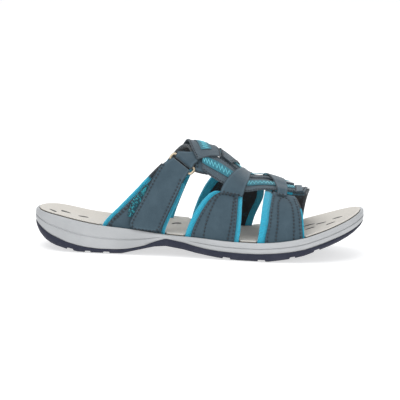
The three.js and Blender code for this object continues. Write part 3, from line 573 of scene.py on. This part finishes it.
# Where the roll is painted near-black, as shade on it: which edge, and from what to what share of the strap's
# length.
SHADED_ROLL_SPANS = {
    "instep_outer": [("rear", 0, 0.2)],
    "instep_inner": [("rear", 0, 0.52), ("front", 0, 0.16)],
    "toe_outer": [("front", 0, 0.34), ("rear", 0, 0.06)],
    "toe_inner": [("front", 0, 0.9)],
}
for strap in STRAPS:
    padding = recut(f"{strap}_padding_roll", f"{strap}_padding")
    rounded(padding, 0.55, 3, angle=50)
    own_upper = tree_of(nodes[f"{strap}_upper"])
    others = tree_of(*[nodes[n] for n in nodes if n != f"{strap}_padding"])
    moves = []
    for v in padding.data.vertices:
        clear = own_upper.find_nearest(v.co)[3] / MM
        share = min(1, max(0, (clear - UNDER_UPPER) / ROLL_SLOPE))
        share = share * share * (3 - 2 * share)
        faces_out = max(0.25, v.normal.dot(out_from_foot(v.co)))
        lump = 1 + 0.22 * noise.noise(v.co / (5 * MM))
        want = STANDS_OUT * share * faces_out * lump
        hit = others.ray_cast(v.co + v.normal * 0.02 * MM, v.normal, 4 * MM)
        if hit[0] is not None:
            want = min(want, max(0, hit[3] / MM - NEIGHBOUR_PLAY))
        if v.co.z < LASTED_BELOW and abs(v.normal.z) > 0.6:
            want = 0
        moves.append(v.normal * want * MM)
    shift(padding, moves)
    weave_over(padding, LAYS[strap])
    length = LAYS[strap].length() / MM
    roll_shade_field = padding.data.attributes.new("roll_shade", "FLOAT", "POINT")
    for spot, value in zip(padding.data.attributes["weave"].data, roll_shade_field.data):
        for side, low, high in SHADED_ROLL_SPANS.get(strap, ()):
            along, aside, _ = spot.vector
            if (aside > 0) == (side == "front"):
                fade = min((along - low * length) / 2 + 1, (high * length - along) / 2)
                value.value = max(value.value, min(1, max(0, fade)))
    dressed(padding, knit.material)


# ------------------------------------------------------------------------------ cross straps: upper
# Over the padding lies a slate blue nubuck upper, cut clean and sewn down along its edges with dark
# thread, with a stitched panel on the middle and toe legs.
def nubuck_finish(name, dark, light):
    finish = Finish(name, Sheen_Weight=0.3, Sheen_Roughness=0.45, Specular_IOR_Level=0.25)
    far, aside, edge = finish.weave()
    cloud = finish.between(finish.grain(70, 4, 0.6), 0.3, 0.7)
    nap = finish.grain(1500, 3, 0.65)
    brushed = finish.grain(260, 3, 0.6, (1, 1, 0.35))
    body = finish.tint(cloud * 0.55 + brushed * 0.45, dark, light)
    # Painted shade: the outer face darkens within 0.75 mm of its edge, for the shadow line round each piece.
    rim_shade = 1 - finish.between(edge, 0.15, 0.75)
    body = finish.tint(rim_shade * 0.75, body, tuple(c * 0.33 for c in dark))
    # Painted shade and dirt: the nubuck darkens within 1.5 mm of each stitch, for the soft shadow in the
    # dipped seam and the dirt caught there.
    seam_shade_and_dirt = 1 - finish.between(finish.add("ShaderNodeAttribute", {"attribute_name": "seam"})[2], 0.45, 1.5)
    body = finish.tint(seam_shade_and_dirt * 0.6, body, tuple(c * 0.3 for c in dark))
    worn = finish.between(edge, 0.7, 1.1) * (1 - finish.between(edge, 1.3, 2.6)) * finish.grain(320, 3)
    body = finish.tint(worn * 0.55, body, tuple(c * 1.55 for c in light))
    finish.coat(body, 0.72 + nap * 0.22, nap + brushed * 1.4, 0.16)
    return finish.material


nubuck = nubuck_finish("slate_nubuck", (0.038, 0.066, 0.088), (0.066, 0.106, 0.134))

thread = Finish("navy_thread", Sheen_Weight=0.2)
twist = thread.grain(2600, 2)
thread.coat(thread.tint(twist, (0.003, 0.005, 0.010), (0.012, 0.017, 0.026)), twist * 0.2 + 0.55, twist, 0.05)
lock_stitch = bead("lock_stitch", 2.0, 0.8, 0.62, 0.1)


def seam(lay, tree, line, pitch=2.9, lift=0.05):
    """Places for stitches along a line of (along, across) points drawn on a strap's own lay."""
    spots = []
    for (a0, c0), (a1, c1) in zip(line, line[1:]):
        for k in range(24):
            guess = lay.at(a0 + (a1 - a0) * k / 24, c0 + (c1 - c0) * k / 24)
            out = out_from_foot(guess)
            found = tree.find_nearest(guess + out * 0.8 * MM)
            spots.append((found[0], found[1]))
    places, travelled, due = [], 0.0, pitch * 0.5
    for (spot, normal), (onward, _) in zip(spots, spots[1:]):
        step = (onward - spot).length / MM
        while step > 0 and travelled + step >= due:
            here = spot.lerp(onward, (due - travelled) / step)
            places.append((here + normal * lift * MM, (onward - spot).normalized(), normal))
            due += pitch
        travelled += step
    return places


SEAM_DIP, SEAM_REACH = 0.34, 2.2
NO_SEAM = Vector((9, 9, 9))  # a place far from the sandal


def press(piece, places):
    """Draws the nubuck in a little along its stitches, and stores how far each point is from one."""
    line = spots_tree([spot for spot, _, _ in places] or [NO_SEAM])
    field = piece.data.attributes.new("seam", "FLOAT", "POINT")
    moves = []
    for v, value in zip(piece.data.vertices, field.data):
        value.value = min(99, line.find(v.co)[2] / MM)
        moves.append(v.normal * -SEAM_DIP * MM * max(0, 1 - value.value / SEAM_REACH) ** 2)
    shift(piece, moves)


def inset(lay, side, gap, start=0.0, end=1.0, steps=8):
    """A line that keeps a gap, in millimetres, to one long edge: side 0 is the rear one, 1 the front."""
    line = []
    for k in range(steps + 1):
        along = start + (end - start) * k / steps
        share = gap * MM / max(lay.width(along), 4 * MM)
        line.append((along, share if side == 0 else 1 - share))
    return line


# Each seam keeps to an edge (side, gap, from, to) or follows a line of (along, across) points.
SEAMS = {
    "instep_outer": [("edge", 0, 1.9, 0.04, 0.97), ("edge", 0, 3.4, 0.04, 0.97), ("edge", 1, 1.9, 0.3, 0.97)],
    "mid_outer": [
        ("edge", 0, 1.7, 0.10, 0.97),
        ("edge", 1, 1.7, 0.10, 0.97),
        (
            "line",
            [(0.97, 0.33), (0.5, 0.24), (0.12, 0.17), (0.10, 0.5), (0.12, 0.83), (0.5, 0.86), (0.97, 0.84)],
        ),
    ],
    "toe_outer": [
        ("edge", 0, 1.7, 0.05, 0.97),
        ("edge", 1, 1.7, 0.05, 0.97),
        (
            "line",
            [(0.97, 0.30), (0.5, 0.28), (0.16, 0.27), (0.08, 0.36), (0.06, 0.5), (0.08, 0.66), (0.16, 0.75)]
            + [(0.5, 0.76), (0.97, 0.76)],
        ),
    ],
    "instep_inner": [("edge", 0, 1.9, 0.02, 0.97), ("edge", 1, 1.9, 0.02, 0.97), ("edge", 0, 3.4, 0.3, 0.97)],
    "mid_inner": [
        ("edge", 0, 1.7, 0.05, 0.97),
        ("edge", 1, 1.7, 0.05, 0.97),
        ("line", [(0.97, 0.30), (0.5, 0.24), (0.22, 0.2), (0.2, 0.5), (0.22, 0.8), (0.5, 0.8), (0.97, 0.76)]),
    ],
    "toe_inner": [("edge", 0, 1.7, 0.02, 0.97), ("edge", 1, 1.7, 0.02, 0.97)],
}
for strap in STRAPS:
    upper = recut(f"{strap}_upper_nubuck", f"{strap}_upper")
    rounded(upper, 0.28, 3)
    weave_over(upper, LAYS[strap])
    dressed(upper, nubuck)
    upper_tree = tree_of(upper)
    places = []
    for kind, *rest in SEAMS[strap]:
        line = inset(LAYS[strap], *rest) if kind == "edge" else rest[0]
        places += seam(LAYS[strap], upper_tree, line)
    press(upper, places)
    dressed(repeated(f"{strap}_stitches", lock_stitch, places), thread.material)


# ------------------------------------------------------------------------------ ribbons and bands
# Slate webbing ribbons run along the instep, and two bands cross them. Each ribbon carries a narrow
# turquoise tape that a zigzag stitch holds down.
webbing = Finish("slate_webbing", Sheen_Weight=0.2)
far, aside, edge = webbing.weave()
ribs = sine_wave(far, 1.3) * 0.6 + sine_wave(aside, 0.9) * sine_wave(far, 2.6)
fuzz = webbing.grain(1300, 3, 0.65)
# Painted shade: the webbing darkens within 1.1 mm of its edges, for the shadow line where a ribbon lies over
# what is under it.
webbing_rim_shade = 1 - webbing.between(edge, 0.3, 1.1)
yarn = webbing.between(ribs, -1.2, 1.2) * 0.5 + fuzz * 0.5
webbing.coat(
    webbing.tint(
        webbing_rim_shade * 0.6,
        webbing.tint(yarn, (0.045, 0.072, 0.094), (0.082, 0.126, 0.158)),
        (0.02, 0.033, 0.045),
    ),
    0.7 + fuzz * 0.2,
    ribs + fuzz,
    0.2,
)
tape_cloth = Finish("turquoise_tape", Sheen_Weight=0.25)
far, aside, edge = tape_cloth.weave()
twill = sine_wave(far + aside, 0.9)
fleck = tape_cloth.grain(1100, 2)
tape_yarn = tape_cloth.between(twill, -1, 1) * 0.6 + fleck * 0.4
tape_cloth.coat(
    tape_cloth.tint(tape_yarn, (0.006, 0.115, 0.165), (0.014, 0.25, 0.34)),
    0.65 + fleck * 0.2,
    twill + fleck,
    0.15,
)
bright = Finish("turquoise_thread", Sheen_Weight=0.3)
strand = bright.grain(2400, 2)
bright.coat(bright.tint(strand, (0.06, 0.46, 0.56), (0.20, 0.74, 0.84)), strand * 0.2 + 0.45, strand, 0.05)
zigzag_stitch = bead("zigzag_stitch", 1.0, 0.5, 0.5, 0.0)


def zigzag(lay, tree, pitch, reach):
    """The holes of a zigzag, each with the way out there, on either side of a tape's middle."""
    count = max(4, round(lay.length() / MM / pitch))
    points = []
    for k in range(count + 1):
        across = 0.5 + (reach if k % 2 else -reach)
        spot = lay.at(0.01 + 0.98 * k / count, across)
        found = tree.find_nearest(spot + out_from_foot(spot) * 0.5 * MM)
        points.append((found[0] + found[1] * 0.12 * MM, found[1]))
    return points


def threads(name, points, width):
    """Each leg of a zigzag is a thread of its own, drawn tight between its two holes."""
    corners, faces = [], []
    shape = zigzag_stitch.data
    for (a, out), (b, _) in zip(points, points[1:]):
        along = (b - a) * 1.06
        side = out.cross(along).normalized() * width
        start = len(corners)
        middle = (a + b) / 2
        corners += [
            middle + along * (v.co.x / MM) + side * v.co.y + out * (v.co.z * width) for v in shape.vertices
        ]
        faces += [[start + i for i in face.vertices] for face in shape.polygons]
    return gathered(name, corners, faces)


# The way in which each ribbon's length is counted.
RIBBON_RUNS = {
    "ribbon_outer": (1, 0, 0),
    "ribbon_ridge": (1, 0, 0),
    "instep_crossover": (0, 1, 0),
}
for name, runs in RIBBON_RUNS.items():
    lay = Lay(name, runs)
    piece = recut(f"{name}_webbing", name)
    rounded(piece, 0.25, 2)
    weave_over(piece, lay)
    dressed(piece, webbing.material)
    edges = seam(lay, tree_of(piece), inset(lay, 0, 1.2, 0.02, 0.98, 16), pitch=2.2)
    edges += seam(lay, tree_of(piece), inset(lay, 1, 1.2, 0.02, 0.98, 16), pitch=2.2)
    dressed(repeated(f"{name}_stitches", lock_stitch, edges), thread.material)
    tape_lay = Lay(f"{name}_tape", runs, columns=2)
    tape = recut(f"{name}_tape_cloth", f"{name}_tape")
    rounded(tape, 0.1, 2)
    weave_over(tape, tape_lay)
    dressed(tape, tape_cloth.material)
    points = zigzag(tape_lay, tree_of(tape), pitch=1.45, reach=0.3)
    dressed(threads(f"{name}_zigzag", points, 1.0), bright.material)

rear_lay = Lay("rear_band", (0, 1, 0))
rear_band = recut("rear_band_webbing", "rear_band")
rounded(rear_band, 0.25, 2)
weave_over(rear_band, rear_lay)
dressed(rear_band, webbing.material)
rear_edges = seam(rear_lay, tree_of(rear_band), inset(rear_lay, 0, 1.3, 0.03, 0.97, 12))
rear_edges += seam(rear_lay, tree_of(rear_band), inset(rear_lay, 1, 1.3, 0.03, 0.97, 12))
dressed(repeated("rear_band_stitches", lock_stitch, rear_edges), thread.material)


# ------------------------------------------------------------------------------ keepers
# Two nubuck keepers wrap over the ribbons and are sewn to the legs below. A narrow band in front of
# them closes the toe strap, and only its inner end is sewn in sight.
for name in ("mid_keeper", "toe_keeper", "toe_band"):
    lay = Lay(name, (0, 1, 0))
    keeper = recut(f"{name}_nubuck", name)
    rounded(keeper, 0.28, 3)
    weave_over(keeper, lay)
    dressed(keeper, nubuck)
    keeper_tree = tree_of(keeper)
    sewn_at = (0.965,) if name == "toe_band" else (0.035, 0.965)
    ends = [place for along in sewn_at for place in seam(lay, keeper_tree, [(along, 0.1), (along, 0.9)])]
    press(keeper, ends)
    dressed(repeated(f"{name}_stitches", lock_stitch, ends), thread.material)


# ------------------------------------------------------------------------------ closure on the leg
# The root of the closure strap is sewn to the outer leg and goes up behind the ring. Beside it the
# leg carries the loop patch, a dense dark pile with brighter turquoise loops among it.
root = recut("closure_root_nubuck", "closure_root")
rounded(root, 0.28, 2)
weave_over(root, Lay("closure_root"))
press(root, [])
dressed(root, nubuck)

pile = Finish("loop_pile", Sheen_Weight=0.5, Sheen_Roughness=0.4)
tufts = pile.grain(1000, 3, 0.7)
flecks = pile.between(pile.grain(520, 2, 0.8), 0.5, 0.62)
ground = pile.tint(pile.between(tufts, 0.35, 0.65), (0.004, 0.022, 0.034), (0.012, 0.1, 0.14))
pile.coat(
    pile.tint(flecks, ground, (0.03, 0.36, 0.43)),
    0.8 + tufts * 0.15,
    tufts,
    0.4,
)
loop_patch = recut("loop_patch_cloth", "loop_patch")
rounded(loop_patch, 0.15, 3)
loop_lay = Lay("loop_patch")
weave_over(loop_patch, loop_lay)
dressed(loop_patch, pile.material)
loop_tree = tree_of(loop_patch)
tuft = bead("tuft", 1.0, 0.34, 0.6, 0.25)
TUFTS = 1100
shuffle = random.Random(7)
tuft_places = []
for _ in range(TUFTS):
    spot = loop_lay.at(0.03 + 0.94 * shuffle.random(), 0.04 + 0.92 * shuffle.random())
    found = loop_tree.find_nearest(spot + out_from_foot(spot) * 0.6 * MM)
    turn = shuffle.uniform(0, 2 * math.pi)
    side = found[1].orthogonal().normalized()
    along = side * math.cos(turn) + found[1].cross(side) * math.sin(turn)
    tuft_places.append((found[0] - found[1] * 0.08 * MM, along, found[1]))
dressed(repeated("loop_patch_tufts", tuft, tuft_places), pile.material)
patch_line = inset(loop_lay, 0, 1.2, 0.02, 0.98, 10)
patch_edge = seam(loop_lay, loop_tree, patch_line, pitch=2.2, lift=0.15)
dressed(repeated("loop_patch_stitches", lock_stitch, patch_edge), thread.material)


# ------------------------------------------------------------------------------ ring and holder
# A nubuck holder ties the upper bar of a cast metal ring to the instep. The ring is smooth and
# plated a pale gold.
holder = recut("ring_holder_nubuck", "ring_holder")
rounded(holder, 0.28, 2)
weave_over(holder, Lay("ring_holder"))
press(holder, [])
dressed(holder, nubuck)

gold = Finish("pale_gold", Metallic=1.0)
scratches = gold.grain(900, 3, 0.6, (1, 5, 1))
gold.coat(
    gold.tint(scratches, (0.46, 0.37, 0.25), (0.60, 0.51, 0.38)),
    0.3 + scratches * 0.2,
    scratches,
    0.01,
)
ring = recut("ring_wire", "ring", "ring")
rounded(ring, 0.05, 2, angle=80)
dressed(ring, gold.material)


# ------------------------------------------------------------------------------ closure tab
# The free half of the closure strap folds over the ring's lower bar and runs down the outside. It is
# nubuck, sewn all round, with the hook patch under its end.
tab_lay = Lay("closure_tab")
tab = recut("closure_tab_nubuck", "closure_tab", "tab")
rounded(tab, 0.3, 3)
weave_over(tab, tab_lay)
dressed(tab, nubuck)
tab_tree = tree_of(tab)
SEAM_FROM, SEAM_TO = 0.24, 0.93  # shares of the tab's length, from its fold
tab_line = inset(tab_lay, 0, 2.0, SEAM_FROM, SEAM_TO, 14)
tab_line += [(0.945, 0.2), (0.95, 0.5), (0.945, 0.8)]
tab_line += inset(tab_lay, 1, 2.0, SEAM_FROM, SEAM_TO, 14)[::-1]
tab_places = seam(tab_lay, tab_tree, tab_line)
press(tab, tab_places)
dressed(repeated("closure_tab_stitches", lock_stitch, tab_places, "tab"), thread.material)

hooks = Finish("black_hooks")
far, aside, edge = hooks.weave()
bristle = sine_wave(far, 1.4) * sine_wave(aside, 1.1)
hooks.coat(
    hooks.tint(hooks.between(bristle, 0, 1), (0.006, 0.007, 0.009), (0.03, 0.033, 0.04)),
    0.35 + hooks.grain(900) * 0.3,
    bristle,
    0.4,
)
hook_patch = recut("hook_patch_tape", "hook_patch", "tab")
rounded(hook_patch, 0.15, 2)
weave_over(hook_patch, Lay("hook_patch"))
dressed(hook_patch, hooks.material)


# ------------------------------------------------------------------------------ template shapes removed
for shape in (vent, lock_stitch, zigzag_stitch, tuft):
    bpy.data.objects.remove(shape)
